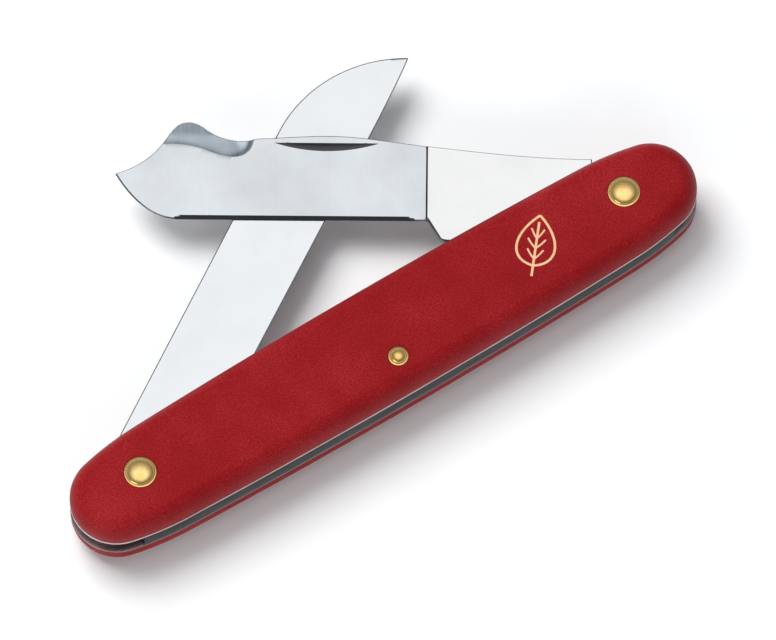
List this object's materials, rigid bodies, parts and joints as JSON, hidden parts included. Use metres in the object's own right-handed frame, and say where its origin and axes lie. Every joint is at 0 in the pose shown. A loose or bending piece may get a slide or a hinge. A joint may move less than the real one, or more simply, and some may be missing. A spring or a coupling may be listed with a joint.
{
  "type": "grafting knife",
  "caption": "Folding grafting and budding knife: two blades hinged at opposite ends of a smooth red handle, one with a bark lifter, held by a back spring.",
  "frame": {"origin": "middle of the back scale's flat outer face", "axes": "+X along the handle from the grafting blade's pivot to the budding blade's pivot, +Y from the back spring to the mouth that the blades fold out of, +Z from the back scale to the front scale"},
  "size_m": [0.1, 0.0519, 0.0127],
  "materials": {
    "red_nylon": "fine-grained matte nylon, moulded in red",
    "spring_steel": "ground edges, lightly polished",
    "blade_steel": "fine vertical grind, polished ricasso",
    "brass": "polished domed heads"
  },
  "bodies": {
    "handle": {"front_scale": "red_nylon", "back_scale": "red_nylon", "front_liner": "spring_steel", "back_liner": "spring_steel", "back_spring": "spring_steel", "grafting_pivot_rivet": "brass", "grafting_pivot_front_washer": "brass", "grafting_pivot_back_washer": "brass", "budding_pivot_rivet": "brass", "budding_pivot_front_washer": "brass", "budding_pivot_back_washer": "brass", "middle_rivet": "brass", "middle_front_washer": "brass", "middle_back_washer": "brass"},
    "budding_blade": {"budding_blade": "blade_steel"},
    "grafting_blade": {"grafting_blade": "blade_steel"}
  },
  "joints": [
    {"name": "budding_blade_hinge", "type": "hinge", "parent": "handle", "child": "budding_blade", "pos_m": [0.0394, 0.0004, 0.0056], "axis": [0, 0, -1], "range_deg": [-32.7, 147.3]},
    {"name": "grafting_blade_hinge", "type": "hinge", "parent": "handle", "child": "grafting_blade", "pos_m": [-0.0394, 0.0004, 0.0056], "axis": [0, 0, 1], "range_deg": [-27.8, 147.6]}
  ]
}
